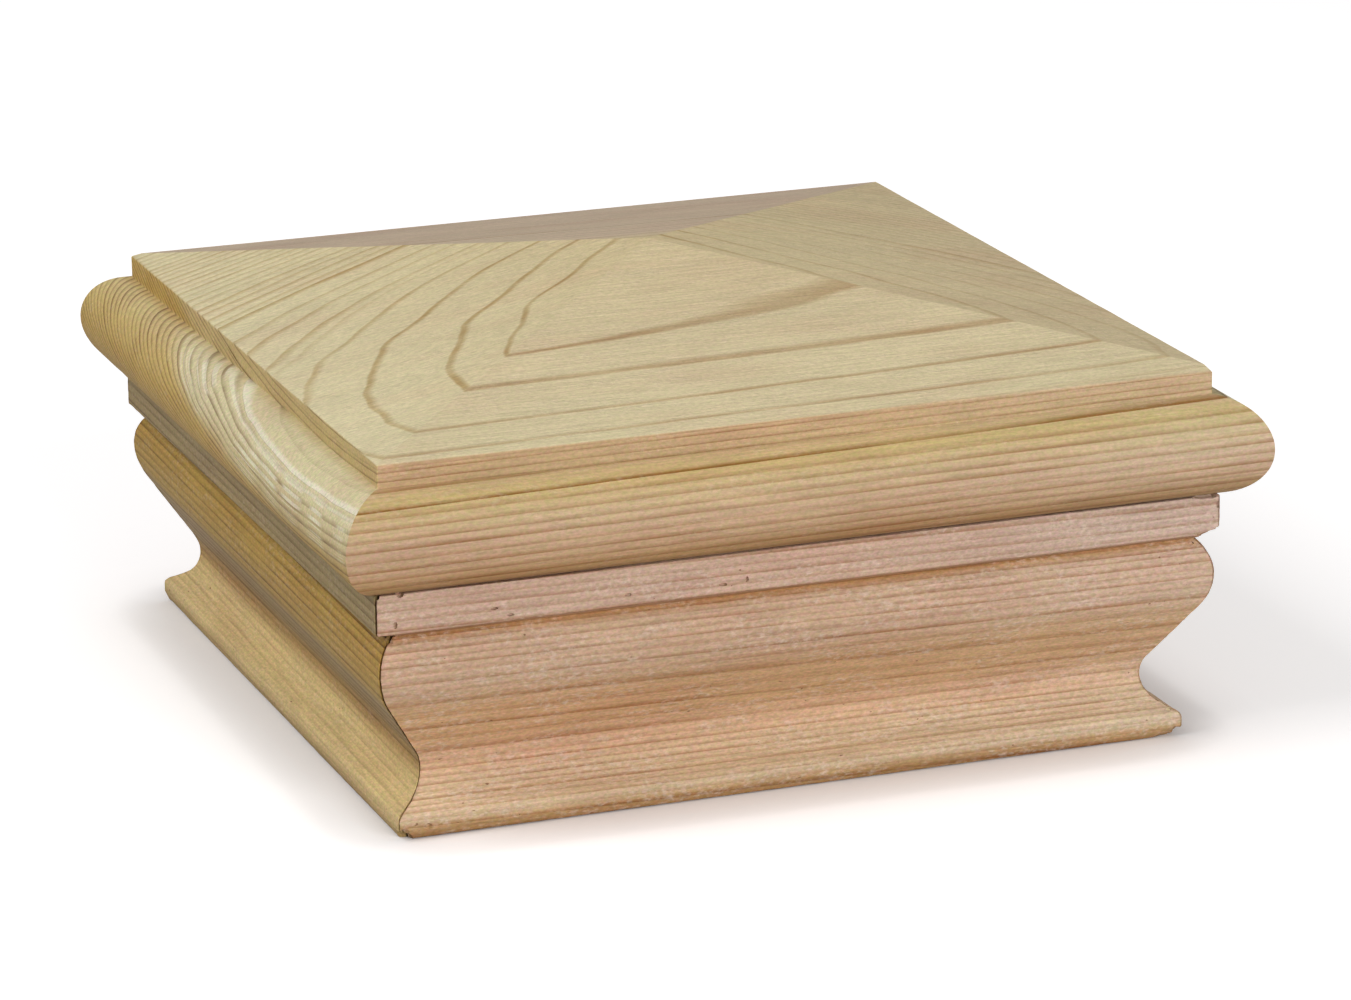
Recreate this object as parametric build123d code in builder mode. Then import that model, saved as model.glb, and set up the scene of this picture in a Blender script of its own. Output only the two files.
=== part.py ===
from build123d import *

import os
from math import acos, cos, degrees, radians

# A pyramid cap for a square timber post: a solid block with a low pyramid and a bullnosed edge,
# glued and nailed on a mitred frame of four moulding strips that slips over the head of the post.
# Millimetres, +Z up. The origin is the centre of the rim that the frame stands on.
# +X runs along the grain of the block, and the front strip is the one on the -Y side.

# The post, and the room that the frame leaves on each side of it
post_width = 88.9
post_clearance = 2.15

# The strips of the frame: walls are measured out from the face that meets the post
strip_thickness = 19.0
strip_height = 38.5
list_height = 6.0
quirk_depth = 2.7
quirk_drop = 1.2
ovolo_setback = 0.5
ovolo_top_radius = 7.0
ovolo_bottom_radius = 10.0
ogee_slope = 33.0
cove_radius = 4.8
neck_height = 9.2
neck_wall = 10.3
lip_slope = 29.5
lip_wall = 15.15
lip_round = 1.2
undercut_height = 1.6
rim_wall = 14.5

# The block: a slab with a full half-round edge, a square step and the pyramid
slab_width = 142.9
slab_thickness = 15.4
eave_width = 129.0
step_height = 3.5
pyramid_height = 11.5

# The brads, driven up through the rim into the block
brad_diameter = 1.25
brad_head_diameter = 2.0
brad_head_thickness = 0.8
brad_point = 2.0
brad_set = 0.6
brad_grip = 12.6
brad_pitch = 60.0
brads_in_strip = 2

# Places that follow from the sizes
opening_half = post_width / 2 + post_clearance
list_face = opening_half + strip_thickness
neck_face = opening_half + neck_wall
brad_line = opening_half + neck_wall / 2
slab_top = strip_height + slab_thickness
eave_height = slab_top + step_height
apex_height = eave_height + pyramid_height

side_turns = {"front": 0, "right": 90, "back": 180, "left": 270}
outward = Vector(0, -1, 0)
along = Vector(-1, 0, 0)

os.makedirs("parts", exist_ok=True)

# The section of a strip: local X runs outwards from the centre of the post, local Y upwards.
# The list and the ovolo hang from the top, and the cove and the lip stand on the rim.
quirk_root = Vector(list_face - quirk_depth, strip_height - list_height - quirk_drop)
ovolo_crest = list_face - ovolo_setback
ovolo_turn = degrees(acos(1 - (ovolo_crest - quirk_root.X) / ovolo_top_radius))
ovolo_start = Vector(1, 0).rotate(Axis.Z, ovolo_turn - 90)
ogee_normal = Vector(1, 0).rotate(Axis.Z, -ogee_slope)
cove_start = Vector(neck_face + cove_radius, neck_height) - ogee_normal * cove_radius

with BuildSketch() as strip_section:
    with BuildLine():
        top = Line((opening_half, strip_height), (list_face, strip_height))
        square_list = Line(top @ 1, (list_face, strip_height - list_height))
        quirk = Line(square_list @ 1, quirk_root)
        upper_ovolo = JernArc(quirk @ 1, ovolo_start, ovolo_top_radius, -ovolo_turn)
        lower_ovolo = JernArc(upper_ovolo @ 1, (0, -1), ovolo_bottom_radius, -ogee_slope)
        # The ogee leaves the ovolo and enters the cove at its own slope, and takes up the height
        ogee_pull = (lower_ovolo % 1) * ((lower_ovolo @ 1) - cove_start).length / 3
        ogee = Bezier(
            lower_ovolo @ 1,
            (lower_ovolo @ 1) + ogee_pull,
            cove_start - ogee_pull,
            cove_start,
        )
        cove = JernArc(ogee @ 1, ogee % 1, cove_radius, 90 + ogee_slope - lip_slope)
        lip_run = (opening_half + lip_wall - (cove @ 1).X) / cos(radians(lip_slope))
        lip = Line(cove @ 1, (cove @ 1) + (cove % 1) * lip_run)
        nose = Line(lip @ 1, (opening_half + lip_wall, undercut_height))
        undercut = Line(nose @ 1, (opening_half + rim_wall, 0))
        rim = Line(undercut @ 1, (opening_half, 0))
        Line(rim @ 1, top @ 0)
    make_face()
    fillet(strip_section.vertices().sort_by_distance(lip @ 1)[0], lip_round)


def brad_spots(height):
    """Places of the brads in all four strips, at this height."""
    first = -brad_pitch * (brads_in_strip - 1) / 2
    return [
        Vector(first + n * brad_pitch, -brad_line, height).rotate(Axis.Z, turn)
        for turn in side_turns.values()
        for n in range(brads_in_strip)
    ]


seated = (Align.CENTER, Align.CENTER, Align.MIN)
brad_length = strip_height - brad_set + brad_grip

with BuildPart() as brad_nails:
    with Locations(brad_spots(brad_set)):
        Cylinder(brad_head_diameter / 2, brad_head_thickness, align=seated)
        Cylinder(brad_diameter / 2, brad_length - brad_point, align=seated)
    with Locations(brad_spots(brad_set + brad_length - brad_point)):
        Cone(brad_diameter / 2, 0, brad_point, align=seated)

# The way each brad has made for itself, with the pit above its set head
with BuildPart() as brad_holes:
    add(brad_nails.part)
    with Locations(brad_spots(0)):
        Cylinder(brad_head_diameter / 2, brad_set, align=seated)


def make_strip(side, turn):
    """One strip, mitred at both ends to meet its neighbours on the diagonals."""
    facing = outward.rotate(Axis.Z, turn)
    lengthways = along.rotate(Axis.Z, turn)
    with BuildPart() as strip:
        with BuildSketch(Plane((0, 0, 0), x_dir=facing, z_dir=lengthways)):
            add(strip_section.sketch)
        extrude(amount=list_face, both=True)
        for end in (-1, 1):
            split(bisect_by=Plane((0, 0, 0), z_dir=lengthways * end - facing), keep=Keep.BOTTOM)
        add(brad_holes.part, mode=Mode.SUBTRACT)
    strip.part.label = f"{side}_strip"
    return strip.part


strips = [make_strip(side, turn) for side, turn in side_turns.items()]

# The block's outline is the same seen from the front and from the side, and what the two have
# in common has the mitred edges and the four faces of the pyramid
with BuildSketch() as block_section:
    with Locations((0, strip_height + slab_thickness / 2)):
        SlotOverall(slab_width, slab_thickness)
    with BuildLine():
        Polyline(
            (-eave_width / 2, strip_height + slab_thickness / 2),
            (eave_width / 2, strip_height + slab_thickness / 2),
            (eave_width / 2, eave_height),
            (0, apex_height),
            (-eave_width / 2, eave_height),
            close=True,
        )
    make_face()

with BuildPart() as cap_block:
    with BuildSketch(Plane.XZ):
        add(block_section.sketch)
    extrude(amount=slab_width / 2, both=True)
    with BuildSketch(Plane.YZ):
        add(block_section.sketch)
    extrude(amount=slab_width / 2, both=True, mode=Mode.INTERSECT)
    add(brad_holes.part, mode=Mode.SUBTRACT)

cap_block.part.label = "cap_block"
brad_nails.part.label = "brad_nails"

for piece in (cap_block.part, brad_nails.part, *strips):
    export_step(piece, f"parts/{piece.label}.step")
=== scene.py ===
"""A pyramid post cap of bare treated pine: a block with a low pyramid, on a mitred frame of moulding."""

import logging
import math
from contextlib import contextmanager
from dataclasses import dataclass, field
from enum import Enum
from typing import Callable, Iterator, Sequence

import bpy
import numpy as np
from mathutils import Matrix, Vector

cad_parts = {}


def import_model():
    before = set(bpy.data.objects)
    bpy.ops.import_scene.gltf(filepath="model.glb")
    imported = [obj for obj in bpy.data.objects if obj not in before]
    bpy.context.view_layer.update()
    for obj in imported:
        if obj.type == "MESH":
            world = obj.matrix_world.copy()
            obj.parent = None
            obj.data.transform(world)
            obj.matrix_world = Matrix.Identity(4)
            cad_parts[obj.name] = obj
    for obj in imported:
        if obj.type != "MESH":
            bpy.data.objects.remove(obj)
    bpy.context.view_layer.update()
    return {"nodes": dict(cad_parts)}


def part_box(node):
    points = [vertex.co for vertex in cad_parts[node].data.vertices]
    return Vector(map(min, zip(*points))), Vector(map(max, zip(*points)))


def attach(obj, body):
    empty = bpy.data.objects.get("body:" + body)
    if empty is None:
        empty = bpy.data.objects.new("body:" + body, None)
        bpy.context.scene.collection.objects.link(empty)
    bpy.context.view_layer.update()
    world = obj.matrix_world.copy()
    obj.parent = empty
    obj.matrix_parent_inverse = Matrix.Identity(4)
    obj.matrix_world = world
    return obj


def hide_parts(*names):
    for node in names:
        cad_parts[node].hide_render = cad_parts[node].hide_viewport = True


log = logging.getLogger("post_cap")

MM = 0.001

# Points this near in millimetres are one, and normals whose product is this near 1 face one way
TOUCHING = 0.01
SAME_WAY = 0.9999

# Most of a noise lies between these
CLOUDY = (0.25, 0.75)

Colour = tuple[float, float, float, float]
Piece = bpy.types.Object
Socket = bpy.types.NodeSocket
Test = Callable[[np.ndarray, np.ndarray], np.ndarray]


def stain(red: int, green: int, blue: int) -> Colour:
    """A colour as a screen shows it, turned into the linear one that a shader takes.

    Args:
        red: Red, from 0 to 255.
        green: Green, from 0 to 255.
        blue: Blue, from 0 to 255.

    Returns:
        The linear colour, with its alpha.
    """
    linear = [
        part / 12.92 if part <= 0.04045 else ((part + 0.055) / 1.055) ** 2.4
        for part in (red / 255, green / 255, blue / 255)
    ]
    return (*linear, 1.0)


class Side(Enum):
    """The four sides of the cap, each with its turn from the front one, in degrees."""

    FRONT = 0
    RIGHT = 90
    BACK = 180
    LEFT = 270

    @property
    def node(self) -> str:
        """The name of the moulding strip on this side."""
        return f"{self.name.lower()}_strip"

    @property
    def turn(self) -> Matrix:
        """The turn from the front to this side."""
        return Matrix.Rotation(math.radians(self.value), 3, "Z")


class Element(Enum):
    """What a selection in edit mode is made of."""

    POINTS = (True, False, False)
    EDGES = (False, True, False)
    FACES = (False, False, True)


class Bench:
    """The moves of the hand that every piece needs: picking, editing, sawing and finishing."""

    @staticmethod
    def clear() -> None:
        """Leave nothing selected."""
        bpy.ops.object.select_all(action="DESELECT")

    @staticmethod
    def take(piece: Piece) -> Piece:
        """Make one piece the only selected and the active one.

        Args:
            piece: The piece.

        Returns:
            The same piece.
        """
        Bench.clear()
        piece.select_set(True)
        bpy.context.view_layer.objects.active = piece
        return piece

    @staticmethod
    def settle(piece: Piece) -> Piece:
        """Put a piece's place, turn and scale into its mesh, and leave its object at the origin.

        Args:
            piece: The piece.

        Returns:
            The same piece.
        """
        Bench.take(piece)
        bpy.ops.object.transform_apply(location=True, rotation=True, scale=True)
        return piece

    @staticmethod
    @contextmanager
    def editing(piece: Piece, element: Element = Element.POINTS) -> Iterator[None]:
        """Edit mode on one piece, for the length of a with block.

        Args:
            piece: The piece to edit.
            element: What its selection is made of.

        Returns:
            Nothing to use: the with block runs in edit mode.
        """
        Bench.take(piece)
        bpy.context.tool_settings.mesh_select_mode = element.value
        bpy.ops.object.mode_set(mode="EDIT")
        yield
        bpy.ops.object.mode_set(mode="OBJECT")

    @staticmethod
    def table(items: bpy.types.bpy_prop_collection, name: str, kind: type, width: int) -> np.ndarray:
        """Read one value of all the points, edges or faces of a mesh.

        Args:
            items: The points, edges or faces.
            name: The value's name.
            kind: Whether its numbers are int or float.
            width: How many numbers it has.

        Returns:
            A row of numbers for each item.
        """
        numbers = np.empty(len(items) * width, kind)
        items.foreach_get(name, numbers)
        return numbers.reshape(-1, width)

    @staticmethod
    def pick_edges(piece: Piece, test: Test) -> int:
        """Select the edges that pass a test.

        Args:
            piece: The piece, in object mode.
            test: Takes the places of both ends in millimetres, and says which edges to pick.

        Returns:
            How many were picked.
        """
        mesh = piece.data
        places = Bench.table(mesh.vertices, "co", float, 3) / MM
        ends = Bench.table(mesh.edges, "vertices", int, 2)
        chosen = test(places[ends[:, 0]], places[ends[:, 1]])
        held = np.zeros(len(places), bool)
        held[ends[chosen].ravel()] = True
        mesh.vertices.foreach_set("select", held)
        mesh.edges.foreach_set("select", chosen)
        mesh.polygons.foreach_set("select", np.zeros(len(mesh.polygons), bool))
        return int(chosen.sum())

    @staticmethod
    def pick_faces(piece: Piece, facing: Vector) -> int:
        """Select the faces that face one way.

        Args:
            piece: The piece, in object mode.
            facing: The way that they face.

        Returns:
            How many were picked.
        """
        mesh = piece.data
        chosen = Bench.table(mesh.polygons, "normal", float, 3) @ np.array(facing) > SAME_WAY
        mesh.vertices.foreach_set("select", np.zeros(len(mesh.vertices), bool))
        mesh.edges.foreach_set("select", np.zeros(len(mesh.edges), bool))
        mesh.polygons.foreach_set("select", chosen)
        return int(chosen.sum())

    @staticmethod
    def saw(piece: Piece, pivot: Vector, normal: Vector, part: bool = True) -> None:
        """Saw a piece along a plane.

        Args:
            piece: The piece.
            pivot: A point of the plane, in millimetres.
            normal: The way that the plane faces.
            part: Take away what lies on that side, and close the cut. Otherwise only score the faces.
        """
        with Bench.editing(piece):
            bpy.ops.mesh.select_all(action="SELECT")
            bpy.ops.mesh.bisect(
                plane_co=pivot * MM, plane_no=normal, use_fill=part, clear_outer=part
            )

    @staticmethod
    def finish_with(piece: Piece, kind: str, **settings: object) -> None:
        """Add a modifier to a piece, set it and apply it.

        Args:
            piece: The piece to change.
            kind: The modifier's type.
            **settings: The modifier's own values.
        """
        Bench.take(piece)
        modifier = piece.modifiers.new(kind.lower(), kind)
        for name, value in settings.items():
            setattr(modifier, name, value)
        bpy.ops.object.modifier_apply(modifier=modifier.name)

    @staticmethod
    def carve(piece: Piece, tools: Sequence[Piece]) -> None:
        """Cut tools out of a piece in one go, and put them away.

        Args:
            piece: The piece to cut.
            tools: The tools, in place.
        """
        Bench.take(tools[0])
        for tool in tools:
            tool.select_set(True)
        if len(tools) > 1:
            bpy.ops.object.join()
        tool = tools[0]
        Bench.finish_with(piece, "BOOLEAN", operation="DIFFERENCE", solver="EXACT", object=tool)
        bpy.data.objects.remove(tool)

    @staticmethod
    def smooth(piece: Piece, angle: float) -> None:
        """Shade a piece smooth, and keep the edges that turn by more than this many degrees."""
        Bench.take(piece)
        bpy.ops.object.shade_smooth_by_angle(angle=math.radians(angle))

    @staticmethod
    def triangles(piece: Piece) -> int:
        """How many triangles a piece has."""
        return sum(len(face.vertices) - 2 for face in piece.data.polygons)


class Pen:
    """Draws a section as a wire in a plane across x, with the outside of the cap on -y."""

    def __init__(self, name: str, along: float, start: Vector) -> None:
        """Put the pen down.

        Args:
            name: The name of the piece that the section becomes.
            along: The place of the section along x, in millimetres.
            start: The first point, outwards and upwards, in millimetres.
        """
        self.along = along
        self.at = start
        Bench.clear()
        bpy.ops.mesh.primitive_plane_add(size=MM)
        self.wire = bpy.context.object
        self.wire.name = name
        bpy.context.tool_settings.mesh_select_mode = Element.POINTS.value
        bpy.ops.object.mode_set(mode="EDIT")
        bpy.ops.mesh.select_all(action="SELECT")
        bpy.ops.mesh.merge(type="CENTER")
        bpy.ops.transform.translate(value=self.place(start))

    def place(self, point: Vector) -> Vector:
        """The place in the cap's frame, in metres, of a point of the section."""
        return Vector((self.along, -point.x, point.y)) * MM

    def line(self, end: Vector, step: float) -> None:
        """Draw a straight run.

        Args:
            end: Where it ends, outwards and upwards, in millimetres.
            step: About how long each of its edges is.
        """
        way = end - self.at
        count = max(1, round(way.length / step))
        stride = Vector((0, -way.x, way.y)) * (MM / count)
        for _ in range(count):
            bpy.ops.mesh.extrude_region_move(TRANSFORM_OT_translate={"value": stride})
        self.at = end

    def arc(self, centre: Vector, turn: float, step: float) -> None:
        """Draw an arc.

        Args:
            centre: The centre of the arc, in millimetres.
            turn: How far it goes round, in degrees, anticlockwise with the outside on the right.
            step: About how long each of its edges is.
        """
        spoke = self.at - centre
        angle = math.radians(turn)
        count = max(2, round(spoke.length * abs(angle) / step))
        bpy.ops.mesh.spin(steps=count, angle=angle, center=self.place(centre), axis=(1, 0, 0))
        self.at = centre + Matrix.Rotation(angle, 2) @ spoke

    def lift(self) -> Piece:
        """Close the wire, fill it with a face and leave edit mode.

        Returns:
            A piece of one face.
        """
        bpy.ops.mesh.select_all(action="SELECT")
        bpy.ops.mesh.remove_doubles(threshold=TOUCHING * MM)
        bpy.ops.mesh.edge_face_add()
        bpy.ops.object.mode_set(mode="OBJECT")
        return self.wire


@dataclass(frozen=True)
class Relief:
    """A relief pressed into a piece: clouds of noise, drawn out along the grain. Millimetres."""

    depth: float
    across: float
    along: float

    octaves = 2

    def press(self, piece: Piece, turn: float, place: Vector) -> None:
        """Sink the relief into a piece, and never raise it.

        Args:
            piece: The piece to roughen.
            turn: The turn of the grain from x, in degrees.
            place: Where the noise is read from, so that no two pieces are alike.
        """
        clouds = bpy.data.textures.new(f"{piece.name}_relief", "CLOUDS")
        clouds.noise_scale = 1.0
        clouds.noise_depth = self.octaves
        Bench.clear()
        bpy.ops.object.empty_add(location=place, rotation=(0, 0, math.radians(turn)))
        gauge = bpy.context.object
        gauge.scale = Vector((self.along, self.across, self.across)) * MM
        bpy.context.view_layer.update()
        Bench.finish_with(
            piece,
            "DISPLACE",
            texture=clouds,
            texture_coords="OBJECT",
            texture_coords_object=gauge,
            strength=self.depth * MM,
            mid_level=1.0,
        )
        bpy.data.objects.remove(gauge)


@dataclass(frozen=True)
class Gouge:
    """A chip or a torn place: a lumpy ball that is pressed into a piece. Millimetres.

    The lumps are made on a ball of radius 1, and their sizes are shares of that. Its place in the piece
    moves the ball through the noise by so much less, so that no two are alike.
    """

    place: tuple[float, float, float]
    reach: tuple[float, float, float]

    fineness = 3
    lump_size = 0.6
    lump_depth = 0.8
    lump_level = 0.6
    noise_travel = 7

    def tool(self) -> Piece:
        """Make the tool.

        Returns:
            The tool, in place.
        """
        Bench.clear()
        bpy.ops.mesh.primitive_ico_sphere_add(subdivisions=self.fineness, radius=1.0)
        tool = bpy.context.object
        tool.name = "gouge"
        lumps = bpy.data.textures.new("gouge_lumps", "CLOUDS")
        lumps.noise_scale = self.lump_size
        tool.location = Vector(self.place) / self.noise_travel
        Bench.settle(tool)
        Bench.finish_with(
            tool,
            "DISPLACE",
            texture=lumps,
            texture_coords="LOCAL",
            strength=self.lump_depth,
            mid_level=self.lump_level,
        )
        tool.location = -Vector(self.place) / self.noise_travel
        Bench.settle(tool)
        tool.scale = Vector(self.reach) * MM
        tool.location = Vector(self.place) * MM
        return Bench.settle(tool)


@dataclass(frozen=True)
class Brads:
    """The ways that the brads have made for themselves through the frame into the block. Millimetres.

    The shank and the head are the radii of a way, a little wider than the brad's own.
    """

    line: float
    pitch: float = 60.0
    shank: float = 0.66
    head: float = 1.04
    pit_depth: float = 1.42
    bore: float = 50.6

    nail_head = 1.0
    round_steps = 24

    def way(self, along: float, side: Side) -> Piece:
        """A tool for one brad's way: the pit for its head at the rim, and the bore for its shank.

        Args:
            along: The brad's place along its strip.
            side: The side that the strip is on.

        Returns:
            The tool, in place.
        """
        Bench.clear()
        bpy.ops.mesh.primitive_cylinder_add(
            vertices=self.round_steps, radius=self.head * MM, depth=2 * self.pit_depth * MM
        )
        tool = bpy.context.object
        Bench.pick_faces(tool, Vector((0, 0, 1)))
        with Bench.editing(tool, Element.FACES):
            bpy.ops.mesh.inset(thickness=(self.head - self.shank) * MM)
            bpy.ops.mesh.extrude_region_move(TRANSFORM_OT_translate={"value": (0, 0, self.bore * MM)})
        tool.location = side.turn @ Vector((along, -self.line, 0)) * MM
        return Bench.settle(tool)

    def ways(self, sides: Sequence[Side]) -> list[Piece]:
        """The tools for all the brads on some of the sides."""
        return [self.way(along, side) for side in sides for along in (-self.pitch / 2, self.pitch / 2)]


@dataclass(frozen=True)
class Moulding:
    """The section of the moulding strips. Millimetres, and walls are measured from the post's face."""

    opening_half: float
    thickness: float
    height: float
    list_height: float = 6.0
    quirk_depth: float = 2.7
    quirk_drop: float = 1.2
    ovolo_setback: float = 0.5
    ovolo_top_radius: float = 7.0
    ovolo_bottom_radius: float = 10.0
    ogee_slope: float = 33.0
    cove_radius: float = 4.8
    neck_height: float = 9.2
    neck_wall: float = 10.3
    lip_slope: float = 29.5
    lip_wall: float = 15.15
    lip_round: float = 1.2
    undercut_height: float = 1.6
    rim_wall: float = 14.5
    fine_step: float = 0.4
    hidden_step: float = 1.5

    @property
    def face(self) -> float:
        """The outermost place of the strip, from the middle of the post."""
        return self.opening_half + self.thickness

    def draw(self) -> Piece:
        """Draw the section at the strip's left end, and fill it.

        Returns:
            A piece of one face.
        """
        top = Vector((self.opening_half, self.height))
        pen = Pen("strip_blank", -self.face, top)
        pen.line(Vector((self.face, self.height)), self.hidden_step)
        pen.line(Vector((self.face, self.height - self.list_height)), self.fine_step)
        quirk = pen.at - Vector((self.quirk_depth, self.quirk_drop))
        pen.line(quirk, self.fine_step)
        self.draw_ogee(pen)
        self.draw_lip(pen)
        pen.line(Vector((self.opening_half + self.rim_wall, 0)), self.fine_step)
        pen.line(Vector((self.opening_half, 0)), self.hidden_step)
        pen.line(top, self.hidden_step)
        return pen.lift()

    def draw_ogee(self, pen: Pen) -> None:
        """Draw the ovolo, the ogee under it and the cove, from the root of the quirk.

        Args:
            pen: The pen, which is at the root of the quirk.
        """
        slope = math.radians(self.ogee_slope)
        crest = self.face - self.ovolo_setback
        turn = math.acos(1 - (crest - pen.at.x) / self.ovolo_top_radius)
        level = pen.at.y - self.ovolo_top_radius * math.sin(turn)
        top_centre = Vector((crest - self.ovolo_top_radius, level))
        pen.arc(top_centre, -math.degrees(turn), self.fine_step)
        bottom_centre = Vector((crest - self.ovolo_bottom_radius, level))
        pen.arc(bottom_centre, -self.ogee_slope, self.fine_step)
        cove = Vector((self.opening_half + self.neck_wall + self.cove_radius, self.neck_height))
        pen.line(cove - Vector((math.cos(slope), -math.sin(slope))) * self.cove_radius, self.fine_step)
        pen.arc(cove, 90 + self.ogee_slope - self.lip_slope, self.fine_step)

    def draw_lip(self, pen: Pen) -> None:
        """Draw the sloping lip and its rounded nose, down to the undercut.

        Args:
            pen: The pen, which is at the end of the cove.
        """
        fall = math.radians(self.lip_slope)
        way = Vector((math.cos(fall), -math.sin(fall)))
        run = (self.opening_half + self.lip_wall - pen.at.x) / way.x
        round_off = self.lip_round * math.tan((math.pi / 2 - fall) / 2)
        pen.line(pen.at + way * (run - round_off), self.fine_step)
        centre = pen.at + Vector((way.y, -way.x)) * self.lip_round
        pen.arc(centre, self.lip_slope - 90, self.fine_step)
        pen.line(Vector((self.opening_half + self.lip_wall, self.undercut_height)), self.fine_step)


@dataclass
class MitredFrame:
    """The four moulding strips, mitred at the corners of the post. Millimetres and degrees.

    The growths are how far a mitre opens for each millimetre, and the divisions cut a strip's length up.
    """

    moulding: Moulding
    brads: Brads
    heel_gap: float = 0.004
    growth_outwards: float = 0.008
    growth_upwards: float = 0.002
    divisions: tuple[int, ...] = (15, 15)
    arris: float = 0.25
    rim_arris: float = 0.07
    crisp_turn: float = 35.0
    raised_grain: tuple[Relief, ...] = (Relief(0.14, 1.3, 45.0), Relief(0.08, 0.6, 2.2))
    torn: dict[Side, tuple[Gouge, ...]] = field(default_factory=dict)

    def build(self) -> dict[Side, Piece]:
        """Model one strip and copy it round the four sides.

        Returns:
            The strips, each with its own mesh.
        """
        blank = self.blank()
        strips = {}
        for side in Side:
            strip = blank.copy()
            strip.data = blank.data.copy()
            strip.name = f"{side.node}_moulding"
            bpy.context.scene.collection.objects.link(strip)
            strip.rotation_euler = (0, 0, math.radians(side.value))
            Bench.settle(strip)
            self.weather(strip, side)
            strips[side] = strip
        bpy.data.objects.remove(blank)
        return strips

    def blank(self) -> Piece:
        """Model one strip as the front one, with plain faces and mitred ends.

        Returns:
            The strip.
        """
        strip = self.moulding.draw()
        length = (2 * self.moulding.face * MM, 0, 0)
        with Bench.editing(strip):
            bpy.ops.mesh.select_all(action="SELECT")
            bpy.ops.mesh.extrude_region_move(TRANSFORM_OT_translate={"value": length})
            bpy.ops.mesh.select_all(action="SELECT")
            bpy.ops.mesh.normals_make_consistent(inside=False)
        for end in (-1, 1):
            Bench.saw(strip, *self.mitre(end))
        self.soften_arrises(strip)
        for cuts in self.divisions:
            Bench.pick_edges(strip, self.runs_lengthways)
            with Bench.editing(strip, Element.EDGES):
                bpy.ops.mesh.subdivide(number_cuts=cuts)
        self.soften_ends(strip)
        Bench.carve(strip, self.brads.ways([Side.FRONT]))
        return strip

    def mitre(self, end: int) -> tuple[Vector, Vector]:
        """The plane of a mitre, which is shut at its heel and opens outwards, and a little upwards.

        Args:
            end: The end of the strip, -1 for the left one and 1 for the right one.

        Returns:
            A point of the plane, in millimetres, and the way that it faces.
        """
        heel = self.moulding.opening_half
        pivot = Vector((end * (heel - self.heel_gap), -heel, 0))
        return pivot, Vector((end, 1 - self.growth_outwards, self.growth_upwards)).normalized()

    def soften_arrises(self, strip: Piece) -> None:
        """Round the long arrises of the list, the rim and the inner wall.

        Args:
            strip: The strip, as the front one.
        """
        shape = self.moulding
        corners = (
            (shape.face, shape.height),
            (shape.face, shape.height - shape.list_height),
            (shape.opening_half + shape.rim_wall, 0),
            (shape.opening_half, 0),
        )
        for outwards, height in corners:

            def on_corner(one: np.ndarray, other: np.ndarray) -> np.ndarray:
                """Edges that run along this corner of the section."""
                along = self.runs_lengthways(one, other)
                return along & (np.hypot(one[:, 1] + outwards, one[:, 2] - height) < TOUCHING)

            Bench.pick_edges(strip, on_corner)
            with Bench.editing(strip, Element.EDGES):
                bpy.ops.mesh.bevel(offset=self.arris * MM, segments=2, affect="EDGES")

    @staticmethod
    def runs_lengthways(one: np.ndarray, other: np.ndarray) -> np.ndarray:
        """Edges that run along the strip."""
        return np.abs(one - other)[:, 1:].max(1) < TOUCHING

    def soften_ends(self, strip: Piece) -> None:
        """Round the rims of both mitres a little, and divide their faces.

        Args:
            strip: The strip, as the front one.
        """

        def on_rim(one: np.ndarray, other: np.ndarray) -> np.ndarray:
            """Find the edges with both ends in the plane of a mitre.

            Args:
                one: The places of the edges' first ends.
                other: The places of their other ends.

            Returns:
                Which edges they are.
            """
            picked = np.zeros(len(one), bool)
            for pivot, facing in map(self.mitre, (-1, 1)):
                far = [np.abs((point - np.array(pivot)) @ np.array(facing)) for point in (one, other)]
                picked |= np.maximum(*far) < TOUCHING
            return picked

        log.info("rounding %d edges of the mitres", Bench.pick_edges(strip, on_rim))
        with Bench.editing(strip, Element.EDGES):
            bpy.ops.mesh.bevel(offset=self.rim_arris * MM, segments=1, affect="EDGES")
        for end in (-1, 1):
            log.info("dividing %d faces of a mitre", Bench.pick_faces(strip, self.mitre(end)[1]))
            with Bench.editing(strip, Element.FACES):
                bpy.ops.mesh.quads_convert_to_tris(quad_method="BEAUTY", ngon_method="BEAUTY")

    def weather(self, strip: Piece, side: Side) -> None:
        """Give one strip its torn places and its raised grain.

        Args:
            strip: The strip, in its own place.
            side: The side that it is on, which also shifts its relief.
        """
        if side in self.torn:
            Bench.carve(strip, [gouge.tool() for gouge in self.torn[side]])
        place = Vector((0.3 * side.value, 0.7, 0.1)) * MM
        for relief in self.raised_grain:
            relief.press(strip, side.value, place)
        Bench.smooth(strip, self.crisp_turn)


@dataclass(frozen=True)
class Facet:
    """One face of the pyramid, and how far its eave lies above true at its two ends. Millimetres."""

    side: Side
    left: float = 0.0
    right: float = 0.0

    def plane(self, half: float, eave: float, apex: float) -> tuple[Vector, Vector]:
        """The plane that this face is cut along.

        Args:
            half: How far the eave lies from the middle, in millimetres.
            eave: The height of the eave.
            apex: The height of the apex.

        Returns:
            A point of the plane, and the way that it faces.
        """
        one = self.side.turn @ Vector((-half, -half, eave + self.left))
        other = self.side.turn @ Vector((half, -half, eave + self.right))
        top = Vector((0, 0, apex))
        return top, (other - one).cross(top - one).normalized()


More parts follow.
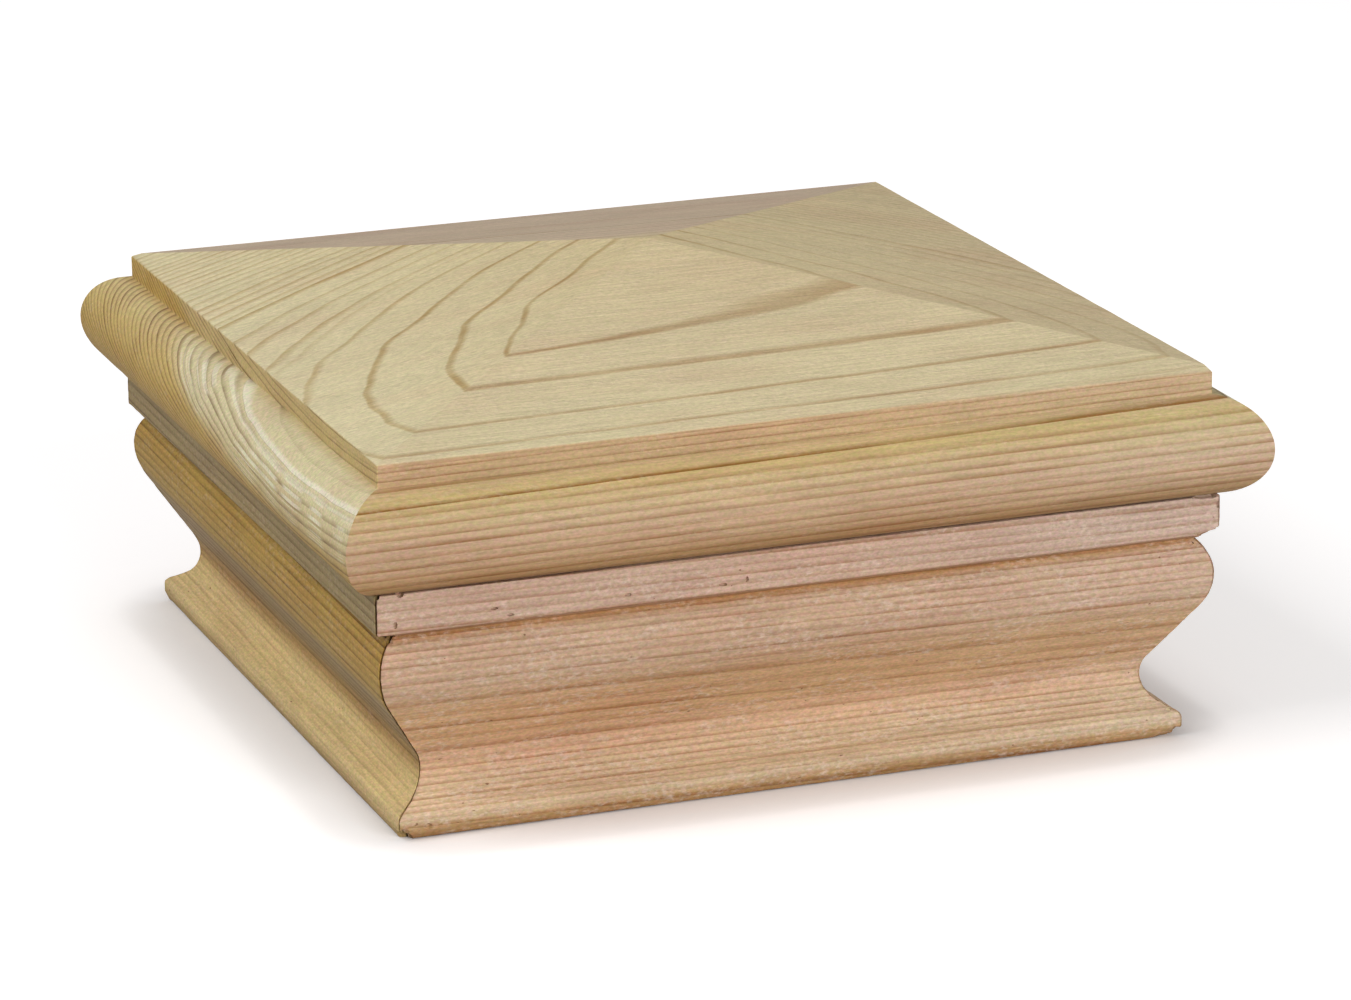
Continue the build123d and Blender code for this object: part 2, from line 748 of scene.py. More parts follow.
@dataclass
class CapBlock:
    """The block: a slab with a half-round edge, a square step and the pyramid. Millimetres and degrees."""

    half: float
    foot: float
    apex: float
    brads: Brads
    eave_half: float = 64.5
    step_height: float = 3.5
    slab_thickness: float = 15.4
    round_steps: int = 38
    eave_arris: float = 0.22
    score_pitch: float = 2.0
    score_shift: float = 0.13
    step_scores: tuple[float, ...] = (1.2, 2.4)
    crisp_turn: float = 8.0
    raised_grain: Relief = Relief(0.10, 6.0, 60.0)
    facets: tuple[Facet, ...] = (
        Facet(Side.FRONT, 0.0, -0.22),
        Facet(Side.RIGHT, 0.25, 0.0),
        Facet(Side.BACK, 0.0, 0.12),
        Facet(Side.LEFT, -0.15, 0.0),
    )

    @property
    def radius(self) -> float:
        """The radius of the half-round edge."""
        return self.slab_thickness / 2

    @property
    def core(self) -> float:
        """Half the width of the slab's flat underside."""
        return self.half - self.radius

    @property
    def tangent(self) -> float:
        """The height at which the step stands on the half-round edge."""
        return self.foot + self.radius + math.sqrt(self.radius**2 - (self.eave_half - self.core) ** 2)

    @property
    def eave(self) -> float:
        """The height of the eave."""
        return self.foot + self.slab_thickness + self.step_height

    def build(self) -> Piece:
        """Model the block: the slab ring by ring, then the pyramid, planed off face by face.

        Returns:
            The block.
        """
        block = self.round_slab()
        for facet in self.facets:
            Bench.saw(block, *facet.plane(self.eave_half, self.eave, self.apex))
        self.soften_eaves(block)
        self.score(block)
        Bench.smooth(block, self.crisp_turn)
        self.raised_grain.press(block, 0.0, Vector((0.02, 0.01, 0.03)))
        Bench.carve(block, self.brads.ways(list(Side)))
        return block

    def round_slab(self) -> Piece:
        """Model the slab from a plane at its underside, with a square post of wood left on it.

        Returns:
            The slab.
        """
        middle = self.foot + self.radius
        Bench.clear()
        bpy.ops.mesh.primitive_plane_add(size=2 * self.core * MM)
        block = bpy.context.object
        block.name = "cap_block_timber"
        last_turn = math.degrees(math.acos((self.eave_half - self.core) / self.radius))
        turns = np.radians(np.linspace(-90, last_turn, self.round_steps + 1))[1:]
        rings = [
            (self.core + self.radius * math.cos(turn), middle + self.radius * math.sin(turn))
            for turn in turns
        ]
        rings.append((self.eave_half, self.apex + self.step_height))
        with Bench.editing(block):
            bpy.ops.mesh.select_all(action="SELECT")
            bpy.ops.transform.translate(value=(0, 0, self.foot * MM))
            at = Vector((self.core, self.foot))
            for half, height in rings:
                rise = (0, 0, (height - at.y) * MM)
                bpy.ops.mesh.extrude_region_move(TRANSFORM_OT_translate={"value": rise})
                spread = (half / at.x, half / at.x, 1)
                bpy.ops.transform.resize(value=spread, center_override=(0, 0, height * MM))
                at = Vector((half, height))
            bpy.ops.mesh.select_all(action="SELECT")
            bpy.ops.mesh.normals_make_consistent(inside=False)
        return block

    def soften_eaves(self, block: Piece) -> None:
        """Round the eaves and the upright arrises of the step a little.

        Args:
            block: The block.
        """

        def on_step(one: np.ndarray, other: np.ndarray) -> np.ndarray:
            """Find the edges of the step that don't lie on the half-round edge.

            Args:
                one: The places of the edges' first ends.
                other: The places of their other ends.

            Returns:
                Which edges they are.
            """
            outside = [np.abs(np.abs(end[:, :2]).max(1) - self.eave_half) < TOUCHING for end in (one, other)]
            high = np.maximum(one[:, 2], other[:, 2]) > self.tangent + 0.5
            return outside[0] & outside[1] & high

        log.info("rounding %d edges of the step", Bench.pick_edges(block, on_step))
        with Bench.editing(block, Element.EDGES):
            bpy.ops.mesh.bevel(offset=self.eave_arris * MM, segments=2, affect="EDGES")

    def score(self, block: Piece) -> None:
        """Divide the faces finely enough to take the relief of the grain.

        Args:
            block: The block.
        """
        count = int(self.core // self.score_pitch)
        for step in range(-count, count + 1):
            for across in (Vector((1, 0, 0)), Vector((0, 1, 0))):
                Bench.saw(block, across * (step * self.score_pitch + self.score_shift), across, part=False)
        for height in self.step_scores:
            Bench.saw(block, Vector((0, 0, self.tangent + height)), Vector((0, 0, 1)), part=False)


class Graph:
    """A material's nodes, joined up one by one."""

    def __init__(self, name: str) -> None:
        """Start an empty material.

        Args:
            name: The material's name.
        """
        self.material = bpy.data.materials.new(name)
        self.material.use_nodes = True
        self.nodes = self.material.node_tree.nodes
        self.links = self.material.node_tree.links
        self.nodes.clear()

    def feed(self, socket: Socket, value: object) -> None:
        """Join a socket to another one, or set its value.

        Args:
            socket: The socket to feed.
            value: The other socket, or the value.
        """
        if isinstance(value, bpy.types.NodeSocket):
            self.links.new(value, socket)
        else:
            socket.default_value = value

    def add(
        self, kind: str, settings: dict[str, object] | None = None, **inputs: object
    ) -> bpy.types.Node:
        """Add a node.

        Args:
            kind: The node's type, without the first words that all shader nodes share.
            settings: The node's own values.
            **inputs: What goes into its sockets, with spaces in their names written as underscores.

        Returns:
            The node.
        """
        node = self.nodes.new(f"ShaderNode{kind}")
        for name, value in (settings or {}).items():
            setattr(node, name, value)
        for name, value in inputs.items():
            self.feed(node.inputs[name.replace("_", " ")], value)
        return node

    def maths(self, operation: str, *values: object, clamp: bool = False) -> Socket:
        """One step of arithmetic on numbers.

        Args:
            operation: The step.
            *values: The numbers, or the sockets that give them.
            clamp: Keep the result from 0 to 1.

        Returns:
            The result.
        """
        node = self.add("Math", {"operation": operation, "use_clamp": clamp})
        for socket, value in zip(node.inputs, values):
            self.feed(socket, value)
        return node.outputs[0]

    def vectors(self, operation: str, *values: object) -> Socket:
        """One step of arithmetic on vectors.

        Args:
            operation: The step.
            *values: The vectors, or the sockets that give them.

        Returns:
            The result.
        """
        node = self.add("VectorMath", {"operation": operation})
        for socket, value in zip(node.inputs, values):
            self.feed(socket, value)
        return node.outputs[0]

    def spread(
        self, value: Socket, low: float, high: float, to_low: float = 0.0, to_high: float = 1.0
    ) -> Socket:
        """Map a range of a number onto another range, with soft ends.

        Args:
            value: The number.
            low: Where its range starts.
            high: Where its range ends.
            to_low: What the start becomes.
            to_high: What the end becomes.

        Returns:
            The new number.
        """
        node = self.add(
            "MapRange",
            {"interpolation_type": "SMOOTHSTEP"},
            Value=value,
            From_Min=low,
            From_Max=high,
            To_Min=to_low,
            To_Max=to_high,
        )
        return node.outputs[0]

    def noise(
        self, place: Socket, stretch: Sequence[float], detail: float = 2.0, rough: float = 0.5
    ) -> Socket:
        """Noise in clouds, from 0 to 1.

        Args:
            place: Where to read it.
            stretch: How long the clouds are along each axis, in millimetres.
            detail: How many finer layers it has.
            rough: How strong the finer layers are.

        Returns:
            The noise.
        """
        scaled = self.vectors("MULTIPLY", place, [1 / length for length in stretch])
        node = self.add("TexNoise", Vector=scaled, Scale=1.0, Detail=detail, Roughness=rough)
        return node.outputs[0]

    def blend(self, factor: object, one: object, other: object, way: str = "MIX") -> Socket:
        """Mix two colours.

        Args:
            factor: The share of the other colour.
            one: The first colour.
            other: The other colour.
            way: How they are mixed.

        Returns:
            The mixed colour.
        """
        node = self.add("Mix", {"data_type": "RGBA", "blend_type": way})
        self.feed(node.inputs[0], factor)
        self.feed(node.inputs[6], one)
        self.feed(node.inputs[7], other)
        return node.outputs[2]

    def curve(
        self, value: Socket, points: Sequence[tuple[float, float]], reach: float, height: float
    ) -> Socket:
        """Read a number off a smooth curve.

        Args:
            value: Where to read it, from -reach to reach.
            points: The curve's points: a place, and a number from -height to height.
            reach: How far the curve goes both ways.
            height: The most that it gives both ways.

        Returns:
            The number.
        """
        share = self.maths("MULTIPLY_ADD", value, 0.5 / reach, 0.5)
        node = self.add("FloatCurve", Factor=1.0, Value=share)
        line = node.mapping.curves[0]
        scaled = [(0.5 + place / reach / 2, 0.5 + number / height / 2) for place, number in points]
        line.points[0].location = scaled[0]
        line.points[1].location = scaled[-1]
        for point in scaled[1:-1]:
            line.points.new(*point)
        node.mapping.update()
        return self.maths("MULTIPLY_ADD", node.outputs[0], 2 * height, -height)

    def ramp(self, value: Socket, stops: Sequence[tuple[float, Colour]]) -> Socket:
        """Read a colour off a ramp.

        Args:
            value: Where to read it.
            stops: The ramp's stops in order: a place and a colour.

        Returns:
            The colour.
        """
        low, high = stops[0][0], stops[-1][0]
        share = self.maths("DIVIDE", self.maths("SUBTRACT", value, low), high - low)
        node = self.add("ValToRGB", Fac=share)
        marks = node.color_ramp.elements
        for mark, (place, colour) in zip(marks, (stops[0], stops[-1])):
            mark.position, mark.color = (place - low) / (high - low), colour
        for place, colour in stops[1:-1]:
            marks.new((place - low) / (high - low)).color = colour
        return node.outputs[0]

    def close(self, shader: bpy.types.Node) -> bpy.types.Material:
        """Join the shader to the output and hand the material over.

        Args:
            shader: The shader's node.

        Returns:
            The material.
        """
        output = self.nodes.new("ShaderNodeOutputMaterial")
        self.links.new(shader.outputs[0], output.inputs["Surface"])
        return self.material


@dataclass(frozen=True)
class GrainPlace:
    """Where a point lies in its piece: along the grain, across it and up, in millimetres."""

    point: Socket
    along: Socket
    across: Socket
    up: Socket

    @classmethod
    def read(cls, graph: Graph, turn: float) -> "GrainPlace":
        """Read the place.

        Args:
            graph: The material's nodes.
            turn: The turn of the grain from x, in degrees.

        Returns:
            The place.
        """
        turned = graph.add(
            "Mapping",
            {"vector_type": "POINT"},
            Vector=graph.add("TexCoord").outputs["Object"],
            Rotation=(0, 0, math.radians(-turn)),
            Scale=(1 / MM, 1 / MM, 1 / MM),
        )
        parts = graph.add("SeparateXYZ", Vector=turned.outputs[0])
        return cls(turned.outputs[0], *parts.outputs)


@dataclass(frozen=True)
class GrowthRing:
    """The late wood that ends one ring: hard at its outer edge, and fading inwards. Millimetres.

    The edge lies this far from the pith, and left and right are the thickness of the late wood there.
    """

    edge: float
    left: float
    right: float
    depth: float
    climb: float = 0.0
    firmness: float = 1.0

    soft_edge = 0.07
    changes_over = (-22.0, 6.0)

    def late(self, graph: Graph, radius: Socket, place: GrainPlace) -> Socket:
        """How much of the wood at a place is this ring's late wood.

        Args:
            graph: The material's nodes.
            radius: The distance from the pith.
            place: Where the point lies.

        Returns:
            The share of late wood.
        """
        outer = graph.maths("MULTIPLY_ADD", place.along, self.climb, self.edge)
        inside = graph.maths("SUBTRACT", outer, radius)
        thick = graph.spread(place.along, *self.changes_over, self.left, self.right)
        share = graph.maths("DIVIDE", inside, thick)
        fading = graph.maths("MULTIPLY_ADD", share, -self.firmness, self.firmness, clamp=True)
        rising = graph.maths("MULTIPLY_ADD", inside, 1 / self.soft_edge, 1.0, clamp=True)
        return graph.maths("MULTIPLY", graph.maths("MULTIPLY", fading, rising), self.depth)


@dataclass(frozen=True)
class RingPattern:
    """How the growth rings lie in a piece: about a pith beyond it, across and up. Millimetres.

    The single rings come before the regular ones, and the pale ones are whitish wood instead of late wood.
    """

    pith: tuple[float, float]
    pitch: float
    late_share: float
    lean: float = 0.0
    rise: float = 0.0
    front_ease: float = 1.0
    front_squeeze: float = 1.0
    bend: tuple[tuple[float, float], ...] = ()
    wander: float = 0.15
    tremble: float = 0.03
    unevenness: float = 0.5
    faintest: float = 0.45
    single: tuple[GrowthRing, ...] = ()
    pale: tuple[GrowthRing, ...] = ()
    regular_from: float = 0.0
    frosted: tuple[float, float] = (0.0, 0.0)
    seed: float = 0.0

    bend_reach = 75.0
    bend_height = 3.0
    squeezed_over = (-10.0, 60.0)
    wander_size = (150, 13, 13)
    tremble_size = (14, 5, 5)
    uneven_size = (22, 7, 7)
    frost_size = (8, 9, 9)
    frost_over = (0.42, 0.62)
    streak_over = (0.5, 0.6)
    streak_strength = 0.75
    noise_gain = 4
    falls_from = 0.88
    alternation = 0.6
    chance = 0.5
    strengths = (0.6, 1.15)

    def radius(self, graph: Graph, place: GrainPlace) -> tuple[Socket, Socket]:
        """How far a place lies from the pith, with the wander of the rings.

        Args:
            graph: The material's nodes.
            place: Where the point lies.

        Returns:
            The distance from the pith, and the part of it that lies across the piece.
        """
        middle = graph.maths("MULTIPLY_ADD", place.along, self.lean, self.pith[0])
        offset = graph.maths("SUBTRACT", place.across, middle)
        behind = graph.maths("MAXIMUM", offset, 0.0)
        before = graph.maths("MINIMUM", offset, 0.0)
        aside = graph.maths("MULTIPLY_ADD", before, self.front_ease, behind)
        under = graph.maths("SUBTRACT", place.up, self.pith[1])
        under = graph.maths("MULTIPLY_ADD", place.along, -self.rise, under)
        square = graph.maths("MULTIPLY_ADD", aside, aside, graph.maths("MULTIPLY", under, under))
        radius = graph.maths("SQRT", square)
        if self.bend:
            bent = graph.curve(place.across, self.bend, self.bend_reach, self.bend_height)
            radius = graph.maths("SUBTRACT", radius, bent)
        shifted = graph.vectors("ADD", place.point, (self.seed, self.seed, self.seed))
        for size, strength in ((self.wander_size, self.wander), (self.tremble_size, self.tremble)):
            cloud = graph.maths("SUBTRACT", graph.noise(shifted, size, 1.0), 0.5)
            radius = graph.maths("MULTIPLY_ADD", cloud, strength * self.noise_gain, radius)
        return radius, offset

    def regular(self, graph: Graph, radius: Socket, offset: Socket) -> Socket:
        """The late wood of the many narrow rings that follow on each other.

        Args:
            graph: The material's nodes.
            radius: The distance from the pith.
            offset: The part of it that lies across the piece.

        Returns:
            The share of late wood.
        """
        beyond = graph.maths("SUBTRACT", radius, self.regular_from)
        if self.front_squeeze != 1.0:
            squeeze = graph.spread(offset, *self.squeezed_over, self.front_squeeze, 1.0)
            beyond = graph.maths("MULTIPLY", beyond, squeeze)
        count = graph.maths("DIVIDE", beyond, self.pitch)
        uneven = graph.add("TexNoise", {"noise_dimensions": "1D"}, W=count, Scale=0.43, Detail=1.0)
        count = graph.maths("MULTIPLY_ADD", uneven.outputs[0], self.unevenness, count)
        number = graph.maths("FLOOR", count)
        ring = graph.add("TexWhiteNoise", {"noise_dimensions": "1D"}, W=number)
        chance = graph.maths("MULTIPLY", ring.outputs[0], self.chance)
        every_other = graph.maths("MODULO", number, 2.0)
        strength = graph.maths("MULTIPLY_ADD", every_other, self.alternation, chance)
        phase = graph.maths("FRACT", count)
        rising = graph.maths("SUBTRACT", phase, 1 - self.late_share)
        rising = graph.maths("DIVIDE", rising, self.late_share, clamp=True)
        falling = graph.spread(phase, self.falls_from, 1.0, 1.0, 0.0)
        late = graph.maths("MULTIPLY", rising, falling)
        strongest = self.alternation + self.chance
        late = graph.maths("MULTIPLY", late, graph.spread(strength, 0.0, strongest, self.faintest, 1.0))
        return graph.maths("MULTIPLY", late, graph.spread(beyond, 0.0, 0.1))

    def read(self, graph: Graph, place: GrainPlace) -> tuple[Socket, Socket]:
        """Read the rings at a place.

        Args:
            graph: The material's nodes.
            place: Where the point lies.

        Returns:
            The share of late wood, and the distance from the pith.
        """
        radius, offset = self.radius(graph, place)
        late = self.regular(graph, radius, offset)
        for ring in self.single:
            late = graph.maths("MAXIMUM", late, ring.late(graph, radius, place))
        uneven = graph.spread(graph.noise(place.point, self.uneven_size), *CLOUDY, *self.strengths)
        return graph.maths("MULTIPLY", late, uneven), radius

    def whitish(self, graph: Graph, place: GrainPlace, radius: Socket) -> Socket:
        """Read the whitish wood: the pale rings, and streaks that follow some of the rings in patches.

        Args:
            graph: The material's nodes.
            place: Where the point lies.
            radius: The distance from the pith.

        Returns:
            The share of whitish wood.
        """
        streak = graph.add("TexNoise", {"noise_dimensions": "1D"}, W=radius, Scale=1.7, Detail=1.0)
        streak = graph.spread(streak.outputs[0], *self.streak_over, 0.0, self.streak_strength)
        patch = graph.spread(graph.noise(place.point, self.frost_size, 1.0), *self.frost_over)
        share = graph.maths("MULTIPLY", streak, patch)
        start, end = self.frosted
        share = graph.maths("MULTIPLY", share, graph.spread(radius, start, start + 0.5))
        share = graph.maths("MULTIPLY", share, graph.spread(radius, end - 2, end, 1.0, 0.0))
        for ring in self.pale:
            share = graph.maths("MAXIMUM", share, ring.late(graph, radius, place))
        return share


@dataclass(frozen=True)
class Tone:
    """The colour of early wood on one kind of cut, from stop to stop, and what late wood makes of it.

    The stops are heights, or places across, and some of them hold painted shade. Towards the right end the
    colour takes on a cast, partly painted light on side grain, and late wood may lose strength, as it does
    below a height where that is given. Millimetres.
    """

    early: tuple[tuple[float, Colour], ...]
    late: Colour
    by_across: bool = False
    right_cast: Colour = (1.0, 1.0, 1.0, 1.0)
    quiet_below: float = 0.0
    right_strength: float = 1.0

    cast_over = (0.0, 70.0)
    weakens_over = (0.0, 20.0)
    quiet_strength = 0.4

    def mix(self, graph: Graph, place: GrainPlace, late: Socket) -> Socket:
        """The colour of the wood at a place with this share of late wood.

        Args:
            graph: The material's nodes.
            place: Where the point lies.
            late: The share of late wood.

        Returns:
            The colour.
        """
        where = place.across if self.by_across else place.up
        cast = graph.spread(place.along, *self.cast_over)
        early = graph.blend(cast, graph.ramp(where, self.early), self.right_cast, "MULTIPLY")
        if self.quiet_below:
            edge = (self.quiet_below - 1.0, self.quiet_below + 1.0)
            late = graph.maths("MULTIPLY", late, graph.spread(place.up, *edge, self.quiet_strength, 1.0))
        strength = graph.spread(place.along, *self.weakens_over, 1.0, self.right_strength)
        late = graph.maths("MULTIPLY", late, strength)
        return graph.blend(late, early, self.late, "MULTIPLY")


@dataclass(frozen=True)
class Cuts:
    """The tones of a piece whose top and ends are seen too. Millimetres.

    The end grain under the eave turns from one tone into another with the distance from the pith, and
    its late wood is calmer near the pith.
    """

    side: Tone
    top: Tone
    top_end: Tone
    end: Tone
    outer_end: Tone
    outer_from: tuple[float, float]
    calm_within: tuple[float, float]
    eave: float
    step_foot: float = 53.95

    whitish = stain(234, 230, 204)
    end_grain_over = (0.03, 0.09)
    eave_over = (-0.35, -0.05)
    nose_over = (-0.3, 0.0)
    calm = 0.75

    def mix(
        self, graph: Graph, place: GrainPlace, facing: Socket, late: Socket, pale: Socket, radius: Socket
    ) -> Socket:
        """The colour of the wood at a place.

        Args:
            graph: The material's nodes.
            place: Where the point lies.
            facing: How far the face looks along the grain, from -1 to 1.
            late: The share of late wood.
            pale: The share of whitish wood, which shows on end grain.
            radius: The distance from the pith.

        Returns:
            The colour.
        """
        across_grain = graph.spread(graph.maths("ABSOLUTE", facing), *self.end_grain_over)
        above = graph.spread(place.up, *(self.eave + offset for offset in self.eave_over))
        outer = graph.spread(radius, *self.outer_from)
        nose_end = (self.step_foot + offset for offset in self.nose_over)
        on_nose = graph.spread(place.up, *nose_end, 1.0, 0.0)
        calm = graph.maths("MULTIPLY", graph.spread(radius, *self.calm_within, self.calm, 0.0), on_nose)
        late_end = graph.maths("MULTIPLY", late, graph.maths("SUBTRACT", 1.0, calm))
        tones = (self.side, self.top, self.top_end)
        side, top, top_end = (tone.mix(graph, place, late) for tone in tones)
        end, outer_end = (tone.mix(graph, place, late_end) for tone in (self.end, self.outer_end))
        end = graph.blend(outer, end, outer_end)
        end = graph.blend(graph.maths("MULTIPLY", pale, on_nose), end, self.whitish)
        low = graph.blend(across_grain, side, end)
        high = graph.blend(across_grain, top, top_end)
        return graph.blend(above, low, high)


@dataclass(frozen=True)
class PineFinish:
    """Planed pine, coloured by the growth rings that its shape cuts through. Millimetres and degrees.

    The numbers that follow the tone are strengths from 0 to 1.
    """

    name: str
    turn: float
    rings: RingPattern
    tone: Tone | Cuts
    fuzz: float = 0.0
    torn_grain: float = 0.0
    streaks: float = 0.11
    grit: float = 0.08
    patches: float = 0.04
    dappled: float = 0.7
    dappled_top: float = 0.3

    rosy = (1.09, 0.96, 1.06, 1.0)
    yellowish = (0.94, 1.02, 0.84, 1.0)
    blushing = stain(250, 232, 236)
    fibre = stain(236, 216, 200)
    torn_wood = stain(118, 70, 40)
    streak_size = (9, 0.45, 0.45)
    grit_size = (0.7, 0.35, 0.35)
    patch_size = (40, 12, 12)
    blush_size = (24, 7, 7)
    dapple_size = (0.9, 0.5, 0.5)
    fibre_size = (1.1, 0.65, 0.65)
    tuft_size = (12, 3, 3)
    tear_size = (1.1, 0.6, 0.6)
    tear_shift = (31.0, 17.0, 9.0)
    blush_over = (0.4, 0.75)
    dapple_over = (0.36, 0.64)
    fibre_over = (0.42, 0.78)
    tuft_over = (0.4, 0.62)
    tear_over = (0.775, 0.80)
    top_over = (56.5, 57.2)
    blush = 0.35
    sparse = 0.15
    streak_height = 0.7
    grit_height = 0.6
    late_height = 0.25
    fibre_height = 0.8
    tear_height = -1.5
    bump_strength = 0.5
    bump_depth = 0.18
    roughness = 0.68
    shine = 0.2

    def wood(self, graph: Graph, place: GrainPlace) -> tuple[Socket, Socket]:
        """The colour that the growth rings give the wood at a place.

        Args:
            graph: The material's nodes.
            place: Where the point lies.

        Returns:
            The colour, and the share of late wood.
        """
        late, radius = self.rings.read(graph, place)
        if isinstance(self.tone, Tone):
            return self.tone.mix(graph, place, late), late
        pale = self.rings.whitish(graph, place, radius)
        normal = graph.add("TexCoord").outputs["Normal"]
        facing = graph.add("SeparateXYZ", Vector=normal).outputs[0]
        return self.tone.mix(graph, place, facing, late, pale, radius), late

    def mottle(self, graph: Graph, place: GrainPlace, wood: Socket) -> Socket:
        """Lay a blush in clouds and a fine dapple of two casts over the wood.

        Args:
            graph: The material's nodes.
            place: Where the point lies.
            wood: The colour of the wood.

        Returns:
            The mottled colour.
        """
        cloud = graph.noise(place.point, self.blush_size, 3.0)
        blush = graph.spread(cloud, *self.blush_over, 0.0, self.blush)
        wood = graph.blend(blush, wood, self.blushing, "MULTIPLY")
        dapple = graph.spread(graph.noise(place.point, self.dapple_size, 2.0, 0.7), *self.dapple_over)
        dapple = graph.blend(dapple, self.rosy, self.yellowish)
        strength = graph.spread(place.up, *self.top_over, self.dappled, self.dappled_top)
        return graph.blend(strength, wood, dapple, "MULTIPLY")

    def roughen(
        self, graph: Graph, place: GrainPlace, wood: Socket, height: Socket
    ) -> tuple[Socket, Socket]:
        """Raise pale fibres in tufts and sink small dark tears, where the finish has them.

        Args:
            graph: The material's nodes.
            place: Where the point lies.
            wood: The colour of the wood.
            height: The height of its bumps.

        Returns:
            The new colour, and the new height.
        """
        if self.fuzz:
            fibre = graph.noise(place.point, self.fibre_size, 3.0, 0.6)
            tuft = graph.noise(place.point, self.tuft_size)
            tuft = graph.spread(tuft, *self.tuft_over, self.sparse, 1.0)
            fibre = graph.maths("MULTIPLY", graph.spread(fibre, *self.fibre_over), tuft)
            wood = graph.blend(graph.maths("MULTIPLY", fibre, self.fuzz), wood, self.fibre)
            height = graph.maths("MULTIPLY_ADD", fibre, self.fibre_height, height)
        if self.torn_grain:
            shifted = graph.vectors("ADD", place.point, self.tear_shift)
            tear = graph.spread(graph.noise(shifted, self.tear_size, 1.0), *self.tear_over)
            wood = graph.blend(graph.maths("MULTIPLY", tear, self.torn_grain), wood, self.torn_wood)
            height = graph.maths("MULTIPLY_ADD", tear, self.tear_height, height)
        return wood, height

    def build(self) -> bpy.types.Material:
        """Build the material.

        Returns:
            The material.
        """
        graph = Graph(self.name)
        place = GrainPlace.read(graph, self.turn)
        wood, late = self.wood(graph, place)
        wood = self.mottle(graph, place, wood)
        streak = graph.noise(place.point, self.streak_size, 3.0, 0.6)
        grit = graph.noise(place.point, self.grit_size, 2.0, 0.6)
        patch = graph.noise(place.point, self.patch_size, 3.0)
        value = 1.0
        for noise, strength in ((streak, self.streaks), (grit, self.grit), (patch, self.patches)):
            lightness = graph.spread(noise, *CLOUDY, 1 - strength, 1 + strength)
            value = graph.maths("MULTIPLY", value, lightness)
        height = graph.maths("MULTIPLY", streak, self.streak_height)
        height = graph.maths("MULTIPLY_ADD", grit, self.grit_height, height)
        height = graph.maths("MULTIPLY_ADD", late, self.late_height, height)
        wood, height = self.roughen(graph, place, wood, height)
        hue = graph.add("HueSaturation", Color=wood, Value=value)
        depth = self.bump_depth * MM
        bump = graph.add("Bump", Strength=self.bump_strength, Distance=depth, Height=height)
        shader = graph.add(
            "BsdfPrincipled",
            Base_Color=hue.outputs[0],
            Roughness=self.roughness,
            Specular_IOR_Level=self.shine,
            Normal=bump.outputs[0],
        )
        return graph.close(shader)


@dataclass(frozen=True)
class GalvanisedSteel:
    """The dull grey zinc of the brads, with grime in specks. Millimetres."""

    zinc: Colour = stain(150, 152, 152)
    grime: Colour = stain(96, 94, 90)
    speck_size: tuple[float, float, float] = (0.5, 0.5, 0.8)

    def build(self) -> bpy.types.Material:
        """Build the material.

        Returns:
            The material.
        """
        graph = Graph("galvanised_steel")
        place = graph.vectors("SCALE", graph.add("TexCoord").outputs["Object"])
        place.node.inputs["Scale"].default_value = 1 / MM
        speck = graph.noise(place, self.speck_size, 3.0, 0.6)
        tone = graph.blend(graph.spread(speck, 0.35, 0.7), self.zinc, self.grime)
        dullness = graph.spread(speck, 0.2, 0.8, 0.35, 0.6)
        return graph.close(graph.add("BsdfPrincipled", Base_Color=tone, Metallic=0.9, Roughness=dullness))


